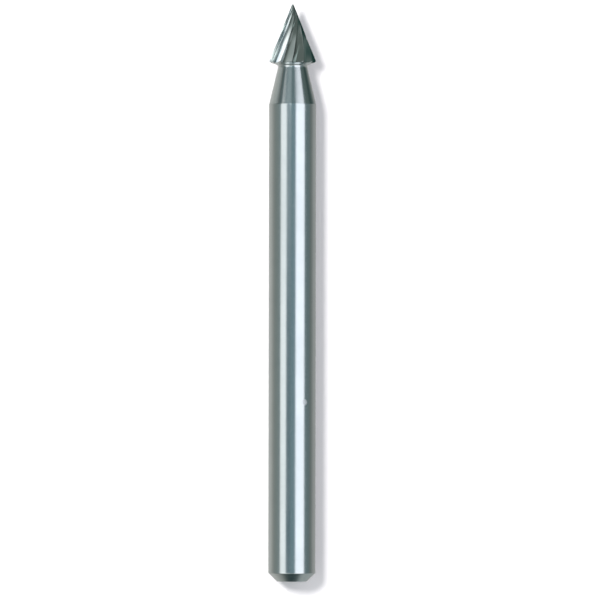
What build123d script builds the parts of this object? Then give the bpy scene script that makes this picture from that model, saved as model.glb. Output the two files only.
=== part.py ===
from build123d import *
import math
import os

# Rotary burr, in millimetres, lying on its shank on the plane z = 0, with its point towards +Y.
# The origin is on that plane, under the middle of the burr's length.
# The burr is shaped upright first: heights run along its axis from the shank's end face to the point,
# and angles round the axis start at +X and run towards +Y. It is laid down as the last step.

# shank
shank_diameter = 3.175
shank_length = 32.20
end_chamfer = 0.575

# taper and neck
taper_length = 2.25
neck_diameter = 1.97
neck_length = 0.55
neck_fillet = 0.24

# head
head_diameter = 3.16
head_length = 3.95
point_diameter = 0.10
underside_rise = 0.17
rim_break = 0.10

# teeth
tooth_count = 12
tooth_depth_share = 0.12
land_share = 0.07
land_relief_share = 0.12
gullet_share = 0.40
face_rake_angle = 8.0
helix_angle = 12.0
first_edge_angle = -121.5
section_count = 17

# the turned surfaces start and end at this angle, close to the line that the burr lies on
seam_angle = 88.0

# derived heights along the axis
taper_top = shank_length + taper_length
head_base = taper_top + neck_length
widest_height = head_base + rim_break
overall_length = head_base + head_length
neck_corner = head_base - underside_rise

# derived radii
shank_radius = shank_diameter / 2
neck_radius = neck_diameter / 2
head_radius = head_diameter / 2
point_radius = point_diameter / 2
rim_radius = head_radius - rim_break
cone_slope = (head_radius - point_radius) / (overall_length - widest_height)

# derived turn of the teeth round the axis, in degrees, while the cone's radius shrinks by a factor e
half_cone_angle = math.atan(cone_slope)
spiral_turn = math.degrees(math.tan(math.radians(helix_angle)) / math.sin(half_cone_angle))


def cone_radius(height):
    """Radius of the cone over the tooth edges, at a height on the axis."""
    return head_radius - cone_slope * (height - widest_height)


def height_on_cone(radius):
    """Height on the axis at which the cone over the tooth edges has a radius."""
    return widest_height + (head_radius - radius) / cone_slope


def polar(radius, degrees):
    """Point of a flat section, from its radius and its angle round the axis."""
    return Vector(radius * math.cos(math.radians(degrees)), radius * math.sin(math.radians(degrees)))


def turned_blank():
    """Burr as it leaves the lathe: shank, taper, neck and a plain head, a little wider than its teeth."""
    slant = math.atan2(underside_rise, rim_radius - neck_radius)
    tangent_share = math.tan((math.pi / 2 - slant) / 2)
    straight_neck = 0.9 * (neck_corner - taper_top)
    gullet_room = 0.9 * (rim_radius * (1 - tooth_depth_share) - neck_radius) / math.cos(slant)
    reach = min(neck_fillet * tangent_share, straight_neck, gullet_room)
    fillet_start = (neck_radius, neck_corner - reach)
    fillet_end = (neck_radius + reach * math.cos(slant), neck_corner + reach * math.sin(slant))
    skin = rim_break
    blank_top = overall_length + skin
    with BuildPart() as blank:
        with BuildSketch(Plane.XZ):
            with BuildLine():
                Line((0, 0), (shank_radius - end_chamfer, 0))
                Line((shank_radius - end_chamfer, 0), (shank_radius, end_chamfer))
                Line((shank_radius, end_chamfer), (shank_radius, shank_length))
                Line((shank_radius, shank_length), (neck_radius, taper_top))
                Line((neck_radius, taper_top), fillet_start)
                TangentArc(fillet_start, fillet_end, tangent=(0, 1))
                Line(fillet_end, (rim_radius, head_base))
                Line((rim_radius, head_base), (head_radius + skin, widest_height + skin))
                Line((head_radius + skin, widest_height + skin), (point_radius + skin, blank_top))
                Line((point_radius + skin, blank_top), (0, blank_top))
                Line((0, blank_top), (0, 0))
            make_face()
        revolve(axis=Axis.Z)
    return Rot(0, 0, seam_angle) * blank.part


def tooth_section(outer):
    """Saw-toothed section at one radius of the cone: each tooth has a face, a gullet, a back and a land."""
    depth = outer * tooth_depth_share
    root = outer - depth
    pitch = 360 / tooth_count
    turn = first_edge_angle + spiral_turn * math.log(head_radius / outer)
    undercut_angle = math.degrees(math.atan(depth * math.tan(math.radians(face_rake_angle)) / root))
    edges = []
    for tooth in range(tooth_count):
        edge_angle = turn + tooth * pitch
        edge = polar(outer, edge_angle)
        foot = polar(root, edge_angle - undercut_angle)
        gullet_end = polar(root, edge_angle + gullet_share * pitch)
        land_start = polar(outer - depth * land_relief_share, edge_angle + (1 - land_share) * pitch)
        next_edge = polar(outer, edge_angle + pitch)
        edges.append(Edge.make_line(edge, foot))
        edges.append(Edge.make_line(foot, gullet_end))
        edges.append(Edge.make_line(gullet_end, land_start))
        edges.append(Edge.make_line(land_start, next_edge))
    section = Face(Wire(edges))
    return section.moved(Location((0, 0, height_on_cone(outer))))


def flute_waste():
    """What grinding the flutes takes away: a round bar over the head, less the twisted loft of the teeth."""
    low = neck_corner - neck_fillet
    shrink = (point_radius / cone_radius(low)) ** (1 / (section_count - 1))
    sections = [tooth_section(cone_radius(low) * shrink**step) for step in range(section_count)]
    teeth = loft(sections)
    bar_top = overall_length + 3 * rim_break
    bar_radius = 1.5 * cone_radius(low)
    bar = Solid.make_cylinder(bar_radius, bar_top - low, Plane.XY.offset(low))
    return bar - teeth


def burr():
    """Whole burr as one solid, upright."""
    return turned_blank() - flute_waste()


def laid_down(upright):
    """Burr turned to lie on its shank along +Y, centred on the origin's YZ and XZ planes."""
    return Pos(0, -overall_length / 2, shank_radius) * Rot(-90, 0, 0) * upright


os.makedirs("parts", exist_ok=True)
shape = laid_down(burr())
shape.label = "burr"
export_step(shape, "parts/burr.step")
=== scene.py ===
"""Rotary burr lying on a pale surface: a turned steel shank with a toothed cone head, lit by soft boxes."""

import logging
import math
from dataclasses import dataclass, field
from enum import Enum
from typing import Any

import bmesh
import bpy
from mathutils import Matrix, Vector

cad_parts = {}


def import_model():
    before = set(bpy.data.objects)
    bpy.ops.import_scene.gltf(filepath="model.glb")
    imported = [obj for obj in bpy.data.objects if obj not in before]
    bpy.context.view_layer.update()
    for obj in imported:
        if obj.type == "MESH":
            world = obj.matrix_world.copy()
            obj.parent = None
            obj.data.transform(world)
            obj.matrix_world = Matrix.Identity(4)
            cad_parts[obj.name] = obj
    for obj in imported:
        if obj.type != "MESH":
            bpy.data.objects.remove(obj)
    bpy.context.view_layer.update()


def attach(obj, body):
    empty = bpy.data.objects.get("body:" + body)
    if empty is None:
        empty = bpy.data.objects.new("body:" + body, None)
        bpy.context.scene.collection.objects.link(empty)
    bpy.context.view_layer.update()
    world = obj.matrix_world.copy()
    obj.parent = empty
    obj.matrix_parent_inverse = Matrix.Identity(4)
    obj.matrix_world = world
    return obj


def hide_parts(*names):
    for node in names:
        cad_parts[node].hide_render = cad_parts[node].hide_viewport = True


log = logging.getLogger("rotary_burr")
MM = 0.001
# mesh attribute that holds the painted shade at the foot of each tooth's face
FOOT_SHADE = "painted_foot_shade"

Colour = tuple[float, float, float, float]
Pair = tuple[float, float]
Span = tuple[float, float]
Skin = bmesh.types.BMesh
Ring = list[bmesh.types.BMVert]


class Slot(Enum):
    """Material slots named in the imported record."""

    STEEL = "tool_steel"


# shader maths


class Signal:
    """A node socket that can be used in arithmetic: each operator adds one Math node."""

    def __init__(self, shader: "Shader", socket: bpy.types.NodeSocket | None) -> None:
        """Wrap a socket of a shader's node tree."""
        self.shader = shader
        self.socket = socket

    def _math(self, operation: str, *inputs: "Signal | float", clamp: bool = False) -> "Signal":
        """Add a Math node.

        Args:
            operation: the node's operation.
            inputs: its values, each a Signal or a number.
            clamp: whether the result is held between 0 and 1.

        Returns:
            The node's output.
        """
        settings = {"operation": operation, "use_clamp": clamp}
        return self.shader.node("ShaderNodeMath", settings, dict(enumerate(inputs)))

    def __add__(self, other: "Signal | float") -> "Signal":
        """Sum."""
        return self._math("ADD", self, other)

    def __radd__(self, other: "Signal | float") -> "Signal":
        """Sum with the number on the left."""
        return self._math("ADD", other, self)

    def __sub__(self, other: "Signal | float") -> "Signal":
        """Difference."""
        return self._math("SUBTRACT", self, other)

    def __rsub__(self, other: "Signal | float") -> "Signal":
        """Difference with the number on the left."""
        return self._math("SUBTRACT", other, self)

    def __mul__(self, other: "Signal | float") -> "Signal":
        """Product."""
        return self._math("MULTIPLY", self, other)

    def __rmul__(self, other: "Signal | float") -> "Signal":
        """Product with the number on the left."""
        return self._math("MULTIPLY", other, self)

    def __abs__(self) -> "Signal":
        """Size without sign."""
        return self._math("ABSOLUTE", self)

    def clamped(self) -> "Signal":
        """Held between 0 and 1."""
        return self._math("ADD", self, 0.0, clamp=True)

    def ramp(self, start: float, full: float) -> "Signal":
        """Smooth step.

        Args:
            start: value at which the result is 0.
            full: value at which the result is 1; it may be below start.

        Returns:
            A Signal from 0 to 1.
        """
        if start > full:
            return 1.0 - self.ramp(full, start)
        settings = {"interpolation_type": "SMOOTHSTEP", "clamp": True}
        inputs = {0: self, 1: start, 2: full, 3: 0.0, 4: 1.0}
        return self.shader.node("ShaderNodeMapRange", settings, inputs)


class Shader:
    """A node tree under construction, for a material or a world."""

    def __init__(self, owner: bpy.types.Material | bpy.types.World) -> None:
        """Empty a node tree.

        Args:
            owner: the material or world that the nodes belong to.
        """
        owner.use_nodes = True
        self.tree = owner.node_tree
        self.tree.nodes.clear()

    def node(
        self,
        kind: str,
        settings: dict[str, Any] | None = None,
        inputs: dict[int | str, Any] | None = None,
        out: int | str = 0,
    ) -> Signal:
        """Add any node: its settings first, then its inputs.

        Args:
            kind: the node's type name.
            settings: attributes of the node.
            inputs: input name or index to a Signal, a number or a tuple.
            out: name or index of the output that is returned.

        Returns:
            The chosen output.
        """
        made = self.tree.nodes.new(kind)
        for name, value in (settings or {}).items():
            setattr(made, name, value)
        for key, value in (inputs or {}).items():
            if isinstance(value, Signal):
                self.tree.links.new(value.socket, made.inputs[key])
            else:
                made.inputs[key].default_value = value
        return Signal(self, made.outputs[out] if len(made.outputs) else None)

    def place(self) -> Signal:
        """Object coordinates, in metres."""
        return self.node("ShaderNodeTexCoord", out="Object")

    def parts(self, vector: Signal) -> tuple[Signal, Signal, Signal]:
        """X, Y and Z of a vector."""
        outputs = self.node("ShaderNodeSeparateXYZ", inputs={0: vector}).socket.node.outputs
        return tuple(Signal(self, socket) for socket in outputs)

    def vector(self, x: Signal | float, y: Signal | float, z: Signal | float) -> Signal:
        """Vector from three values."""
        return self.node("ShaderNodeCombineXYZ", inputs={0: x, 1: y, 2: z})

    def noise(self, vector: Signal, scale: float, detail: float, roughness: float) -> Signal:
        """Noise texture.

        Args:
            vector: where it is read, in metres.
            scale: features per metre.
            detail: octaves.
            roughness: weight of the finer octaves.

        Returns:
            A value around 0.5.
        """
        inputs = {"Vector": vector, "Scale": scale, "Detail": detail, "Roughness": roughness}
        return self.node("ShaderNodeTexNoise", {"normalize": True}, inputs)

    def blend(self, share: Signal, low: Signal | Colour, high: Signal | Colour) -> Signal:
        """Mix two colours: the low one where share is 0, the high one where it is 1."""
        return self.node("ShaderNodeMix", {"data_type": "RGBA"}, {0: share, 6: low, 7: high}, out=2)

    def surface(self, shader: Signal) -> None:
        """Connect a shader to the output.

        Args:
            shader: the shader that the material or world shows.
        """
        world = isinstance(self.tree.id_data, bpy.types.World)
        kind = "ShaderNodeOutputWorld" if world else "ShaderNodeOutputMaterial"
        self.node(kind, inputs={"Surface": shader})


# finishes


@dataclass(frozen=True)
class GroundSteel:
    """Bare tool steel, finely ground round its axis, with faint smudges and one small light mark.

    The flutes of the head are brighter than the shank, darken towards the point and have painted shade
    at the foot of each tooth. Lengths are in metres, and noise scales in features per metre.
    """

    head_start: float
    mark_place: Vector

    # tone of the shank
    bright: Colour = (0.61, 0.65, 0.65, 1.0)
    dull: Colour = (0.58, 0.62, 0.62, 1.0)
    smudged: Span = (0.36, 0.66)
    smudge_scale: float = 260.0
    haze_scale: float = 1400.0
    haze_weight: float = 0.25

    # marks of grinding
    line_pitch: float = 0.045 * MM
    line_stretch: float = 0.03

    # tone of the head: the lengths are counted from its rim
    flute: Colour = (0.80, 0.83, 0.82, 1.0)
    flute_fade: float = 0.1 * MM
    # darker colour, blended in over the head from its rim towards the point
    point_tone: Colour = (0.42, 0.47, 0.46, 1.0)
    point_tone_share: float = 0.7
    point_tone_start: float = 1.2 * MM
    point_tone_full: float = 3.7 * MM
    # painted shade at the foot of each tooth's face, varied by the fine noise
    foot_shade_colour: Colour = (0.20, 0.23, 0.22, 1.0)
    foot_shade_share: float = 0.95
    foot_shade_swing: float = 0.8

    # the light mark
    marked: Colour = (0.75, 0.77, 0.79, 1.0)
    mark_share: float = 0.5
    mark_span: Span = (0.24 * MM, 0.10 * MM)

    roughness: float = 0.19
    roughness_swing: float = 0.10
    flute_roughness: float = 0.12
    mark_roughness: float = 0.25

    # bumps: the mark is one deep, the rest are shares of it
    line_depth: float = 0.10
    haze_depth: float = 0.25
    bump_strength: float = 0.25
    bump_distance: float = 0.004 * MM

    def colour(self, shader: Shader, along: Signal, head: Signal, smudge: Signal, haze: Signal) -> Signal:
        """Colour without the light mark.

        Args:
            shader: the material's nodes.
            along: place along the burr, in metres.
            head: 0 on the shank, 1 on the head.
            smudge: coarse noise.
            haze: fine noise.

        Returns:
            The colour.
        """
        tone = smudge * (1.0 - self.haze_weight) + haze * self.haze_weight
        colour = shader.blend(tone.ramp(*self.smudged), self.bright, self.dull)
        colour = shader.blend(head, colour, self.flute)
        # the head gets darker towards the point
        to_point = along.ramp(self.head_start + self.point_tone_start, self.head_start + self.point_tone_full)
        colour = shader.blend(to_point * self.point_tone_share, colour, self.point_tone)
        # painted shade at the foot of each tooth, read from the mesh attribute
        foot_shade = shader.node("ShaderNodeAttribute", {"attribute_name": FOOT_SHADE}, out="Fac")
        foot_shade = foot_shade * (self.foot_shade_share + (haze - 0.5) * self.foot_shade_swing)
        return shader.blend(foot_shade.clamped(), colour, self.foot_shade_colour)

    def material(self) -> bpy.types.Material:
        """Build the material.

        Returns:
            The new material.
        """
        made = bpy.data.materials.new("ground_steel")
        shader = Shader(made)
        place = shader.place()
        x, y, z = shader.parts(place)
        # the marks of grinding run round the axis: they change quickly along it and slowly round it
        stretched = shader.vector(x * self.line_stretch, y, z * self.line_stretch)
        lines = shader.noise(stretched, 1.0 / self.line_pitch, detail=3.0, roughness=0.6)
        smudge = shader.noise(place, self.smudge_scale, detail=3.0, roughness=0.55)
        haze = shader.noise(place, self.haze_scale, detail=2.0, roughness=0.5)
        head = y.ramp(self.head_start, self.head_start + self.flute_fade)
        points = {0: place, 1: tuple(self.mark_place)}
        to_mark = shader.node("ShaderNodeVectorMath", {"operation": "DISTANCE"}, points, out="Value")
        mark = to_mark.ramp(*self.mark_span)
        colour = self.colour(shader, y, head, smudge, haze)
        colour = shader.blend(mark * self.mark_share, colour, self.marked)
        rough = self.roughness + (smudge - 0.5 + lines - 0.5) * self.roughness_swing
        rough = rough + mark * self.mark_roughness + head * (self.flute_roughness - self.roughness)
        height = lines * self.line_depth + haze * self.haze_depth - mark
        bump = {"Strength": self.bump_strength, "Distance": self.bump_distance, "Height": height}
        metal = {
            "Metallic": 1.0,
            "Base Color": colour,
            "Roughness": rough.clamped(),
            "Normal": shader.node("ShaderNodeBump", inputs=bump),
        }
        shader.surface(shader.node("ShaderNodeBsdfPrincipled", inputs=metal))
        return made


@dataclass(frozen=True)
class PaleSurface:
    """Plain matt white surface that the burr lies on."""

    colour: Colour = (0.905, 0.868, 0.872, 1.0)
    roughness: float = 0.8
    specular: float = 0.1

    def material(self) -> bpy.types.Material:
        """Build the material.

        Returns:
            The new material.
        """
        made = bpy.data.materials.new("pale_surface")
        shader = Shader(made)
        matt = {
            "Base Color": self.colour,
            "Roughness": self.roughness,
            "Specular IOR Level": self.specular,
        }
        shader.surface(shader.node("ShaderNodeBsdfPrincipled", inputs=matt))
        return made


# geometry, built upright in millimetres


def polar(radius: float, degrees: float, height: float) -> Vector:
    """Point from its radius and angle round the burr's axis, and its height on it."""
    angle = math.radians(degrees)
    return Vector((radius * math.cos(angle), radius * math.sin(angle), height))


def rounded(corners: list[Vector], cut: float, steps: int) -> list[Vector]:
    """Round the inner corners of an open line.

    Args:
        corners: the line's points.
        cut: how far before and after a corner its rounding reaches, at most a third of a side.
        steps: pieces in each rounded corner.

    Returns:
        The line with its corners rounded, and its ends kept.
    """
    line = [corners[0].copy()]
    for before, corner, after in zip(corners, corners[1:], corners[2:]):
        reach_in = min(cut, (corner - before).length / 3)
        reach_out = min(cut, (after - corner).length / 3)
        start = corner + (before - corner).normalized() * reach_in
        end = corner + (after - corner).normalized() * reach_out
        for step in range(steps + 1):
            t = step / steps
            line.append(start.lerp(corner, t).lerp(corner.lerp(end, t), t))
    line.append(corners[-1].copy())
    return line


@dataclass
class TurnedShank:
    """Shank, taper and neck, turned on a lathe, and the slant of the head's back.

    Lengths are in millimetres, and the fillet and the edge break are what they take from each side of
    a corner. The skin is spun up to a little past the neck's fillet, where the head takes over: its run
    out is counted in fillets, and the gap that holds the shading flat in edge breaks.
    """

    radius: float = 1.5875
    length: float = 32.20
    end_chamfer: float = 0.575
    taper_length: float = 2.25
    neck_radius: float = 0.985
    neck_length: float = 0.55
    neck_fillet: float = 0.11
    underside_rise: float = 0.17
    rim_radius: float = 1.48
    edge_break: float = 0.035
    corner_steps: int = 6
    run_out: float = 1.6
    hold_gap: float = 1.2
    merge_distance: float = 1e-5

    @property
    def head_base(self) -> float:
        """Height of the head's rim."""
        return self.length + self.taper_length + self.neck_length

    @property
    def slant(self) -> float:
        """Rise of the head's underside for each millimetre outwards."""
        return self.underside_rise / (self.rim_radius - self.neck_radius)

    def outline(self) -> list[Vector]:
        """Half outline from the centre of the end face to just past the neck's fillet.

        Returns:
            Points with radius as x and height as y, in millimetres.
        """
        taper_top = self.length + self.taper_length
        neck_corner = self.head_base - self.underside_rise
        outwards = self.neck_radius + self.run_out * self.neck_fillet
        corners = [
            Vector((0.0, 0.0)),
            Vector((self.radius - self.end_chamfer, 0.0)),
            Vector((self.radius, self.end_chamfer)),
            Vector((self.radius, self.length)),
            Vector((self.neck_radius, taper_top)),
            Vector((self.neck_radius, neck_corner)),
            Vector((outwards, neck_corner + self.slant * (outwards - self.neck_radius))),
        ]
        turned = rounded(corners[:5], self.edge_break, self.corner_steps)
        necked = rounded(corners[4:], self.neck_fillet, self.corner_steps)
        return self.held(turned[:-1] + necked[1:])

    def held(self, line: list[Vector]) -> list[Vector]:
        """Keep smooth shading flat on the long sides.

        Args:
            line: the half outline.

        Returns:
            The outline with a further point near both ends of each side that has room for them.
        """
        gap = self.hold_gap * self.edge_break
        out = [line[0]]
        for before, after in zip(line, line[1:]):
            side = after - before
            if side.length > 3 * gap:
                out.append(before + side.normalized() * gap)
                out.append(after - side.normalized() * gap)
            out.append(after)
        return out

    def spin(self, mesh: Skin, around: int, first_angle: float) -> Ring:
        """Spin the outline into a skin.

        Args:
            mesh: mesh that receives it.
            around: columns in the full turn.
            first_angle: angle of the first column, in degrees.

        Returns:
            The open ring at the top, in order of angle from the first column.
        """
        full = 2 * math.pi
        points = [polar(p.x, first_angle, p.y) for p in self.outline()]
        verts = [bmesh.ops.create_vert(mesh, co=p)["vert"][0] for p in points]
        edges = [mesh.edges.new(pair) for pair in zip(verts, verts[1:])]
        bmesh.ops.spin(
            mesh,
            geom=verts + edges,
            axis=(0, 0, 1),
            cent=(0, 0, 0),
            angle=full,
            steps=around,
            use_merge=True,
        )
        bmesh.ops.remove_doubles(mesh, verts=mesh.verts[:], dist=self.merge_distance)
        rim = {v for e in mesh.edges if e.is_boundary for v in e.verts}
        start = math.radians(first_angle) - 0.5 * full / around

        def angle_of(vert: bmesh.types.BMVert) -> float:
            """Angle past the half step before the first column."""
            return (math.atan2(vert.co.y, vert.co.x) - start) % full

        return sorted(rim, key=angle_of)


@dataclass
class ToothedHead:
    """Pointed cone cut with right-hand spiral teeth.

    Lengths are in millimetres and angles in degrees. The depth, the reliefs and the roundings of the
    teeth are shares of the local radius or depth, so the teeth shrink towards the point.
    """

    shank: TurnedShank

    # cone and teeth
    radius: float = 1.58
    length: float = 3.95
    point_radius: float = 0.05
    rim_break: float = 0.10
    tooth_count: int = 12
    depth_share: float = 0.12
    land_share: float = 0.07
    land_relief_share: float = 0.12
    gullet_share: float = 0.40
    face_rake: float = 8.0
    helix: float = 12.0
    first_edge: float = -121.5

    # roundings of the section, and where further columns lie along its sides
    edge_rounding: float = 0.008
    gullet_rounding: float = 0.035
    crest_rounding: float = 0.012
    edge_steps: int = 4
    gullet_steps: int = 5
    crest_steps: int = 4
    face_columns: tuple[float, ...] = (0.15, 0.5, 0.85)
    back_columns: tuple[float, ...] = (0.12, 0.4, 0.7, 0.92)
    land_column: float = 0.12

    # painted shade at the foot of each tooth: how far it reaches, in pitches, and how fast it fades outwards
    foot_shade_share: float = 0.30
    foot_shade_power: int = 4

    # rings of the skin: on the underside, up the cone, and at the point, in radii of the point
    hub_share: float = 0.97
    hub_lean: float = 4.5
    underside_rings: tuple[float, ...] = (0.0, 0.9)
    rings: int = 30
    tip_drop: float = 0.4
    dome_share: float = 0.5
    dome_drop: float = 0.1

    @property
    def base(self) -> float:
        """Height of the rim's lower edge."""
        return self.shank.head_base

    @property
    def widest(self) -> float:
        """Height at which the cone starts."""
        return self.base + self.rim_break

    @property
    def top(self) -> float:
        """Height of the point."""
        return self.base + self.length

    @property
    def slope(self) -> float:
        """Loss of radius for each millimetre up the cone."""
        return (self.radius - self.point_radius) / (self.top - self.widest)

    @property
    def spiral(self) -> float:
        """Turn of the teeth, in degrees, while the cone's radius shrinks by a factor e."""
        return math.degrees(math.tan(math.radians(self.helix)) / math.sin(math.atan(self.slope)))

    @property
    def root(self) -> float:
        """Radius of the gullets as a share of the cone's."""
        return 1.0 - self.depth_share

    def cone_radius(self, height: float) -> float:
        """Radius over the tooth edges at a height."""
        return self.radius - self.slope * (height - self.widest)

    def turn_at(self, height: float) -> float:
        """Angle of the first tooth edge at a height."""
        return self.first_edge + self.spiral * math.log(self.radius / self.cone_radius(height))

    @property
    def pitch(self) -> float:
        """Angle from tooth to tooth."""
        return 360.0 / self.tooth_count

    def unit_tooth(self) -> list[Vector]:
        """Outline of one tooth and its gullet, on a cone of radius 1.

        Returns:
            Flat points from a tooth's edge to just before the next, with the tooth's edge at angle 0.
        """
        pitch, root = self.pitch, self.root
        undercut = math.degrees(math.atan(self.depth_share * math.tan(math.radians(self.face_rake)) / root))
        land_middle = 1.0 - 0.5 * self.depth_share * self.land_relief_share
        tooth = [
            polar(land_middle, -0.5 * self.land_share * pitch, 0.0).xy,
            polar(1.0, 0.0, 0.0).xy,
            polar(root, -undercut, 0.0).xy,
            polar(root, self.gullet_share * pitch, 0.0).xy,
            polar(1.0 - self.depth_share * self.land_relief_share, (1.0 - self.land_share) * pitch, 0.0).xy,
            polar(land_middle, (1.0 - 0.5 * self.land_share) * pitch, 0.0).xy,
        ]
        edge = rounded(tooth[:3], self.edge_rounding, self.edge_steps)
        gullet = rounded(tooth[1:5], self.gullet_rounding, self.gullet_steps)
        crest = rounded(tooth[3:], self.crest_rounding, self.crest_steps)
        face = [edge[-2].lerp(gullet[1], t) for t in self.face_columns]
        back = [gullet[-2].lerp(crest[1], t) for t in self.back_columns]
        land = [crest[-1].lerp(crest[-2], self.land_column)]
        return edge[1:-1] + face + gullet[1:-1] + back + crest[1:-1] + land

    def unit_section(self) -> list[tuple[float, float, float]]:
        """Outline of all the teeth, on a cone of radius 1.

        Returns:
            Radius, angle in degrees and painted shade of each point, over one full turn from the first edge.
            The painted shade is 1 at the foot of a tooth's face and fades along the gullet and up to the
            edges.
        """
        section = []
        for number in range(self.tooth_count):
            for p in self.unit_tooth():
                past_edge = math.degrees(math.atan2(p.y, p.x))
                # painted shade: 1 at the foot of a face, fading with the angle past the edge and towards the
                # crest
                fade = min(1.0, max(0.0, 1.0 - past_edge / (self.foot_shade_share * self.pitch)))
                foot_shade = fade * ((1.0 - p.length) / self.depth_share) ** self.foot_shade_power
                section.append((p.length, past_edge + number * self.pitch, foot_shade))
        return section

    def rim_point(self, share: float) -> tuple[float, float]:
        """Where a tooth's outline meets the back of the head.

        Args:
            share: the outline's radius as a share of the cone's.

        Returns:
            Radius and height of the meeting point.
        """
        shank = self.shank
        foot = self.cone_radius(0.0)
        corner = self.base - shank.underside_rise
        rise = shank.slant
        lean = share * self.slope
        radius = share * (foot - self.slope * (corner - rise * shank.neck_radius)) / (1 + lean * rise)
        if radius <= shank.rim_radius:
            return radius, corner + rise * (radius - shank.neck_radius)
        radius = share * (foot - self.slope * (self.base - shank.rim_radius)) / (1 + lean)
        return radius, self.base + radius - shank.rim_radius

    def underside(self, share_out: float) -> list[tuple[float, float, float]]:
        """Ring on the smooth back of the head, between a circle below the gullets and the teeth.

        The circle's points lag behind the teeth that they lead to, so that no column crosses the
        undercut of a tooth's face.

        Args:
            share_out: 0 for the circle, 1 for the outline of the teeth.

        Returns:
            Radius, angle in degrees and height of each point.
        """
        section = self.unit_section()
        feet = [self.rim_point(share) for share, _, _ in section]
        shank = self.shank
        hub = self.hub_share * min(radius for radius, _ in feet)
        ring = []
        for (share, degrees, _), (radius, height) in zip(section, feet):
            out = min(share_out, (shank.rim_radius - hub) / (radius - hub))
            lag = self.hub_lean * (share - self.root) / self.depth_share * (1.0 - out)
            reach = hub + (radius - hub) * out
            level = self.base - (shank.rim_radius - reach) * shank.slant
            ring.append((reach, degrees + self.turn_at(height) - lag, level))
        return ring

    def first_column(self) -> float:
        """Where the shank's even columns start, so that they shear least on their way to the teeth.

        Returns:
            Angle in degrees.
        """
        circle = self.underside(0.0)
        step = 360.0 / len(circle)
        return sum(degrees - number * step for number, (_, degrees, _) in enumerate(circle)) / len(circle)

    def grow(self, mesh: Skin, ring: Ring) -> None:
        """Extrude the head, ring by ring, from the open ring at the neck, and close its point.

        Args:
            mesh: the burr's mesh.
            ring: the open ring, in order of angle.
        """
        section = self.unit_section()
        layer = mesh.verts.layers.float[FOOT_SHADE]
        feet = [self.rim_point(share) for share, _, _ in section]
        for share_out in self.underside_rings:
            ring = self.next_ring(mesh, ring, self.underside(share_out))
        tip = self.top - self.tip_drop * self.point_radius
        for step in range(self.rings + 1):
            t = step / self.rings
            row = []
            for (share, degrees, _), (_, height) in zip(section, feet):
                level = height + (tip - height) * t
                row.append((share * self.cone_radius(level), degrees + self.turn_at(level), level))
            ring = self.next_ring(mesh, ring, row)
            # store the painted shade of each point
            for vert, (_, _, foot_shade) in zip(ring, section):
                vert[layer] = foot_shade
        dome_height = self.top - self.dome_drop * self.point_radius
        dome = [(self.dome_share * radius, degrees, dome_height) for radius, degrees, _ in row]
        ring = self.next_ring(mesh, ring, dome)
        ring = self.next_ring(mesh, ring, [(0.0, 0.0, self.top)] * len(ring))
        bmesh.ops.pointmerge(mesh, verts=ring, merge_co=(0.0, 0.0, self.top))

    @staticmethod
    def next_ring(mesh: Skin, ring: Ring, row: list[tuple[float, float, float]]) -> Ring:
        """Extrude a ring and move it.

        Args:
            mesh: the burr's mesh.
            ring: the open ring, in order.
            row: radius, angle in degrees and height of each new point.

        Returns:
            The new ring, in the same order.
        """
        edges = [mesh.edges.get(pair) for pair in zip(ring, ring[1:] + ring[:1])]
        made = bmesh.ops.extrude_edge_only(mesh, edges=edges)["geom"]
        fresh = {v for v in made if isinstance(v, bmesh.types.BMVert)}
        new_ring = []
        for vert in ring:
            new_ring.append(next(e.other_vert(vert) for e in vert.link_edges if e.other_vert(vert) in fresh))
        for vert, (radius, degrees, height) in zip(new_ring, row):
            vert.co = polar(radius, degrees, height)
        return new_ring


@dataclass
class Burr:
    """The whole burr as one closed skin, lying along +Y, with a small light mark on its shank.

    The mark's angle is in degrees from the top line, and its height in millimetres from the shank's end.
    """

    shank: TurnedShank = field(default_factory=TurnedShank)
    head: ToothedHead = field(init=False)
    crease_angle: float = 50.0
    mark_angle: float = 33.0
    mark_height: float = 12.1

    def __post_init__(self) -> None:
        """Build the head on the shank's sizes."""
        self.head = ToothedHead(self.shank)

    @property
    def axis_height(self) -> float:
        """Height of the axis of the lying burr, in metres."""
        return self.shank.radius * MM

    def build(self) -> bpy.types.Object:
        """Make the burr's mesh.

        Returns:
            The new object, in metres, in the frame's place.
        """
        mesh = bmesh.new()
        # layer for the painted shade at the feet of the teeth
        mesh.verts.layers.float.new(FOOT_SHADE)
        around = len(self.head.unit_section())
        ring = self.shank.spin(mesh, around, self.head.first_column())
        self.head.grow(mesh, ring)
        bmesh.ops.recalc_face_normals(mesh, faces=mesh.faces[:])
        place = Matrix.Translation((0.0, -0.5 * self.head.top * MM, self.axis_height))
        lay = place @ Matrix.Rotation(math.radians(-90), 4, "X") @ Matrix.Scale(MM, 4)
        bmesh.ops.transform(mesh, matrix=lay, verts=mesh.verts[:])
        for face in mesh.faces:
            face.smooth = True
        for edge in mesh.edges:
            edge.smooth = edge.calc_face_angle(0.0) < math.radians(self.crease_angle)
        data = bpy.data.meshes.new("burr_skin")
        mesh.to_mesh(data)
        mesh.free()
        made = bpy.data.objects.new("burr_skin", data)
        bpy.context.scene.collection.objects.link(made)
        return made

    def dress(self, piece: bpy.types.Object) -> None:
        """Give the burr its steel.

        Args:
            piece: the burr's object.
        """
        half = 0.5 * self.head.top
        radius = self.shank.radius
        angle = math.radians(self.mark_angle)
        mark = Vector((radius * math.sin(angle), self.mark_height - half, radius * (1 + math.cos(angle))))
        finish = GroundSteel(head_start=(self.head.base - half) * MM, mark_place=mark * MM)
        piece.data.materials.append(finish.material())


# studio


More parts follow.
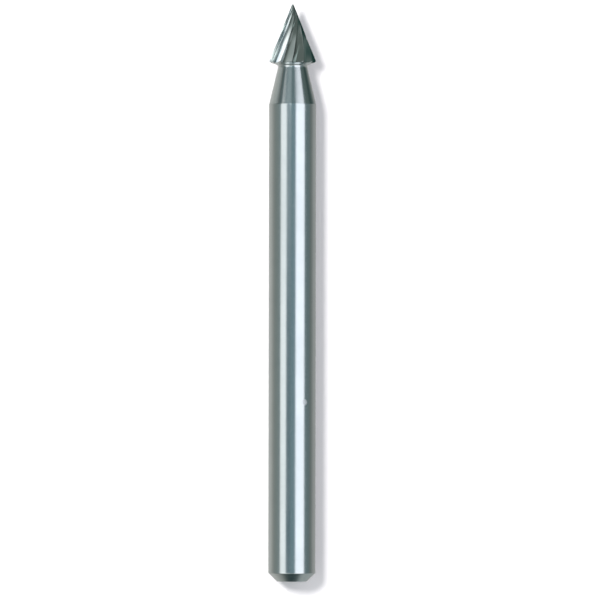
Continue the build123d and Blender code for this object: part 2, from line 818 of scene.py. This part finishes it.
@dataclass(frozen=True)
class SoftBox:
    """Flat light that faces the burr.

    It hangs at two angles from straight up, across the burr and along it, and at a distance. It may be
    slid along the burr, and turned in its own plane. Angles are in degrees, lengths in metres.
    """

    name: str
    width: float
    length: float
    distance: float
    radiance: float
    across: float = 0.0
    along: float = 0.0
    slide: float = 0.0
    turn: float = 0.0
    colour: tuple[float, float, float] = (1.0, 1.0, 1.0)
    in_steel: bool = True
    on_floor: bool = True

    def hang(self) -> None:
        """Add the light to the scene."""
        lamp = bpy.data.lights.new(self.name, "AREA")
        lamp.shape = "RECTANGLE"
        lamp.size = self.width
        lamp.size_y = self.length
        lamp.energy = self.radiance * math.pi * self.width * self.length
        lamp.color = self.colour
        made = bpy.data.objects.new(self.name, lamp)
        across, along = math.radians(self.across), math.radians(self.along)
        upright = math.cos(along)
        way = Vector((math.sin(across) * upright, math.sin(along), math.cos(across) * upright))
        made.location = way * self.distance + Vector((0.0, self.slide, 0.0))
        tilt = Matrix.Rotation(across, 3, "Y") @ Matrix.Rotation(-along, 3, "X")
        made.rotation_euler = (tilt @ Matrix.Rotation(math.radians(self.turn), 3, "Z")).to_euler()
        made.visible_glossy = self.in_steel
        made.visible_diffuse = self.on_floor
        bpy.context.scene.collection.objects.link(made)


@dataclass(frozen=True)
class Patch:
    """Soft-edged patch of the room. Each span gives the values where it starts and where it is full."""

    colour: Colour
    across: Span | None = None
    across_end: Span | None = None
    along: Span | None = None
    along_end: Span | None = None
    up: Span | None = None

    def share(self, x: Signal, y: Signal, z: Signal) -> Signal:
        """How much of the patch is seen.

        Args:
            x: reading for the spans across the burr.
            y: reading for the spans along it.
            z: reading for the span upwards.

        Returns:
            A Signal from 0 to 1.
        """
        readings = (x, x, y, y, z)
        spans = (self.across, self.across_end, self.along, self.along_end, self.up)
        return math.prod(reading.ramp(*span) for reading, span in zip(readings, spans) if span)

    def over(self, base: Signal | Colour, x: Signal, y: Signal, z: Signal) -> Signal:
        """Lay the patch over a colour.

        Args:
            base: what is seen around the patch.
            x: reading for the spans across the burr.
            y: reading for the spans along it.
            z: reading for the span upwards.

        Returns:
            The colour of both.
        """
        return x.shader.blend(self.share(x, y, z), base, self.colour)


@dataclass(frozen=True)
class Room:
    """Dim room that the steel mirrors, painted by direction: x to the right, y towards the point, z up.

    A colour is what is seen where no patch lies over it. A slant tilts the direction along which one
    span of a patch is read.
    """

    # around the shank
    left_wall: Colour = (0.26, 0.3, 0.29, 1.0)
    right_wall: Patch = Patch((0.17, 0.225, 0.235, 1.0), across=(-0.5, 0.5))
    ceiling: Patch = Patch((0.195, 0.3, 0.34, 1.0), up=(0.1, 0.9))
    # walls towards the point
    front_left_wall: Colour = (0.085, 0.105, 0.10, 1.0)
    front_right_wall: Patch = Patch((0.14, 0.19, 0.19, 1.0), across=(-0.5, 0.5))
    front_walls: Span = (0.12, 0.3)
    # what the taper mirrors, and the light past the point
    taper_side: Colour = (0.113, 0.139, 0.129, 1.0)
    taper_right: Patch = Patch((0.13, 0.16, 0.15, 1.0), across=(0.35, 0.6))
    taper_room: Span = (0.4, 0.55)
    # its span upwards is read on z * 0.6 - y * 1.4
    left_glow: Patch = Patch((0.30, 0.345, 0.335, 1.0), across=(-0.3, -0.55), up=(-0.5, -0.74))
    glow_slant: Pair = (0.6, 1.4)
    # its span across is read on the squared distance from its place
    sliver: Patch = Patch((0.42, 0.52, 0.51, 1.0), across=(0.009, 0.001))
    sliver_place: Pair = (0.17, 0.62)
    past_point: Patch = Patch((0.46, 0.50, 0.50, 1.0), along=(0.67, 0.77), up=(0.56, 0.42))
    # past the shank's end: a light with a dark notch in its middle, which the end chamfer mirrors
    end_wall: Patch = Patch((0.012, 0.038, 0.042, 1.0), along=(-0.35, -0.85))
    end_light: Patch = Patch(
        (0.46, 0.50, 0.50, 1.0),
        across=(0.13, 0.22),
        along=(-0.2, -0.5),
        up=(0.05, 0.17),
    )
    notch_slant: float = 0.3
    # light card for the teeth at the lower left
    tooth_card: Patch = Patch(
        (1.25, 1.35, 1.36, 1.0),
        across=(-0.1, -0.16),
        along=(-0.13, -0.17),
        along_end=(-0.36, -0.31),
        up=(0.6, 0.75),
    )
    # darker strip between the two bands of the shank, on both sides of y = 0
    between_bands: Patch = Patch(
        (0.115, 0.185, 0.22, 1.0),
        across=(-0.06, -0.2),
        across_end=(-0.62, -0.45),
        along=(0.2, 0.1),
        up=(0.6, 0.8),
    )
    # below the horizon
    horizon: Span = (0.02, -0.2)
    horizon_dip: float = 0.07
    low_left: Colour = (0.3, 0.32, 0.3, 1.0)
    floor_left: Patch = Patch((0.58, 0.58, 0.56, 1.0), up=(-0.1, -0.75))
    low_right: Colour = (0.18, 0.205, 0.195, 1.0)
    floor_right: Patch = Patch((0.42, 0.43, 0.42, 1.0), up=(-0.1, -0.75))
    low_right_end: Patch = Patch((0.41, 0.45, 0.45, 1.0), along=(-0.2, -0.7))
    low_right_front: Patch = Patch((0.072, 0.112, 0.107, 1.0), along=(0.14, 0.28))
    low_sides: Span = (-0.2, 0.2)
    # bright sector low on the left for the left teeth: its span along is read on y * 0.94 + x * 0.34
    tooth_light: Patch = Patch(
        (1.38, 1.45, 1.46, 1.0),
        across=(-0.02, -0.2),
        along=(-0.02, 0.05),
        up=(0.3, -0.45),
    )
    tooth_light_slant: Pair = (0.94, 0.34)
    # dark flag for the right corner of the head
    flag: Patch = Patch((0.04, 0.078, 0.072, 1.0), across=(0.58, 0.7), along=(0.24, 0.36), up=(0.45, 0.2))
    flag_edge: Patch = Patch((0.105, 0.145, 0.135, 1.0), across=(0.76, 0.84))
    flag_foot: Patch = Patch((0.015, 0.042, 0.038, 1.0), up=(0.0, -0.25))

    def above(self, x: Signal, y: Signal, z: Signal) -> Signal:
        """Colours above the horizon.

        Args:
            x: direction to the right.
            y: direction towards the burr's point.
            z: direction upwards.

        Returns:
            The colour.
        """
        shader = x.shader
        walls = self.right_wall.over(self.left_wall, x, y, z)
        front = self.front_right_wall.over(self.front_left_wall, x, y, z)
        colour = self.ceiling.over(shader.blend(y.ramp(*self.front_walls), walls, front), x, y, z)
        taper = self.taper_right.over(self.taper_side, x, y, z)
        rise, dip = self.glow_slant
        taper = self.left_glow.over(taper, x, y, z * rise - y * dip)
        off_x, off_y = x - self.sliver_place[0], y - self.sliver_place[1]
        taper = self.sliver.over(taper, off_x * off_x + off_y * off_y, y, z)
        colour = shader.blend(y.ramp(*self.taper_room), colour, taper)
        colour = self.end_wall.over(colour, x, y, z)
        colour = self.end_light.over(colour, z * self.notch_slant + abs(x), y, z)
        colour = self.past_point.over(colour, x, y, z)
        colour = self.tooth_card.over(colour, x, y, z)
        return self.between_bands.over(colour, x, abs(y), z)

    def below(self, x: Signal, y: Signal, z: Signal) -> Signal:
        """Colours below the horizon.

        Args:
            x: direction to the right.
            y: direction towards the burr's point.
            z: direction upwards.

        Returns:
            The colour.
        """
        left = self.floor_left.over(self.low_left, x, y, z)
        right = self.floor_right.over(self.low_right, x, y, z)
        right = self.low_right_end.over(right, x, y, z)
        right = self.low_right_front.over(right, x, y, z)
        return x.shader.blend(x.ramp(*self.low_sides), left, right)

    def paint(self) -> None:
        """Make the room the scene's world."""
        world = bpy.data.worlds.new("studio_room")
        bpy.context.scene.world = world
        shader = Shader(world)
        x, y, z = shader.parts(shader.node("ShaderNodeTexCoord", out="Generated"))
        sunk = (z - y * self.horizon_dip).ramp(*self.horizon)
        colour = shader.blend(sunk, self.above(x, y, z), self.below(x, y, z))
        forward, sideways = self.tooth_light_slant
        colour = self.tooth_light.over(colour, x, y * forward + x * sideways, z)
        dark = self.flag_edge.over(self.flag.colour, x, y, z)
        dark = self.flag_foot.over(dark, x, y, z)
        colour = shader.blend(self.flag.share(x, y, z), colour, dark)
        shader.surface(shader.node("ShaderNodeBackground", inputs={"Color": colour, "Strength": 1.0}))


@dataclass(frozen=True)
class Studio:
    """Pale surface, soft boxes, the room around them and a camera straight above. Lengths are in metres.

    The picture has px_per_mm pixels to a millimetre, and the frame's origin at centre_px.
    """

    axis_height: float
    floor_size: float = 4.0
    picture_px: float = 600.0
    px_per_mm: float = 14.82
    centre_px: Pair = (292.3, 292.85)
    camera_height: float = 0.6
    camera_roll: float = 0.104
    sensor_mm: float = 36.0
    clip: Pair = (0.01, 10.0)

    def boxes(self) -> list[SoftBox]:
        """Choose the lights.

        Returns:
            Two boxes that the shank shows as bands, two lights for the surface alone, and two cards for
            the steel alone.
        """
        return [
            SoftBox(
                "right_box",
                width=0.108,
                length=0.20,
                distance=0.13,
                radiance=1.36,
                across=38.3,
                slide=-0.018,
                colour=(0.93, 0.89, 0.955),
            ),
            SoftBox(
                "left_box",
                width=0.070,
                length=0.176,
                distance=0.13,
                radiance=1.07,
                across=-44.8,
                slide=-0.017,
                turn=-7.8,
                colour=(0.95, 0.90, 0.89),
                on_floor=False,
            ),
            SoftBox(
                "fill_box",
                width=0.3,
                length=0.3,
                distance=0.4,
                radiance=0.57,
                colour=(1.0, 0.9, 0.84),
                in_steel=False,
            ),
            SoftBox(
                "key_box",
                width=0.064,
                length=0.064,
                distance=0.25,
                radiance=47.0,
                across=-22.0,
                along=15.0,
                in_steel=False,
            ),
            SoftBox(
                "middle_card",
                width=0.052,
                length=0.13,
                distance=0.13,
                radiance=0.20,
                across=-18.5,
                slide=0.067,
                colour=(0.93, 0.98, 1.0),
                on_floor=False,
            ),
            SoftBox(
                "head_card",
                width=0.0085,
                length=0.0048,
                distance=0.045,
                radiance=2.6,
                across=-10.0,
                along=5.2,
                slide=0.016,
                colour=(0.93, 1.0, 1.0),
                on_floor=False,
            ),
        ]

    def floor(self) -> None:
        """Lay the pale surface, which the steel doesn't mirror."""
        mesh = bmesh.new()
        bmesh.ops.create_grid(mesh, x_segments=1, y_segments=1, size=self.floor_size / 2)
        data = bpy.data.meshes.new("floor")
        mesh.to_mesh(data)
        mesh.free()
        made = bpy.data.objects.new("floor", data)
        data.materials.append(PaleSurface().material())
        bpy.context.scene.collection.objects.link(made)
        made.visible_glossy = False

    def camera(self) -> None:
        """Look straight down, with the burr where the picture has it."""
        lens = bpy.data.cameras.new("camera")
        made = bpy.data.objects.new("camera", lens)
        bpy.context.scene.collection.objects.link(made)
        view = self.picture_px / self.px_per_mm * MM
        lens.sensor_width = self.sensor_mm
        lens.lens = self.sensor_mm * self.camera_height / view
        lens.clip_start, lens.clip_end = self.clip
        middle = 0.5 * self.picture_px
        made.location = (
            (middle - self.centre_px[0]) / self.picture_px * view,
            (self.centre_px[1] - middle) / self.picture_px * view,
            self.camera_height + self.axis_height,
        )
        made.rotation_euler.z = math.radians(self.camera_roll)
        bpy.context.scene.camera = made

    def build(self) -> None:
        """Set up the whole studio."""
        self.floor()
        Room().paint()
        for box in self.boxes():
            box.hang()
        self.camera()
        bpy.context.scene.view_settings.view_transform = "Standard"


def main() -> None:
    """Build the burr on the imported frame, dress it and light it."""
    logging.basicConfig(level=logging.INFO, format="%(message)s")
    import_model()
    burr = Burr()
    piece = burr.build()
    burr.dress(piece)
    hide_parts("burr")
    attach(piece, "root")
    log.info("%s: %d faces", piece.name, len(piece.data.polygons))
    Studio(burr.axis_height).build()


if __name__ == "__main__":
    main()
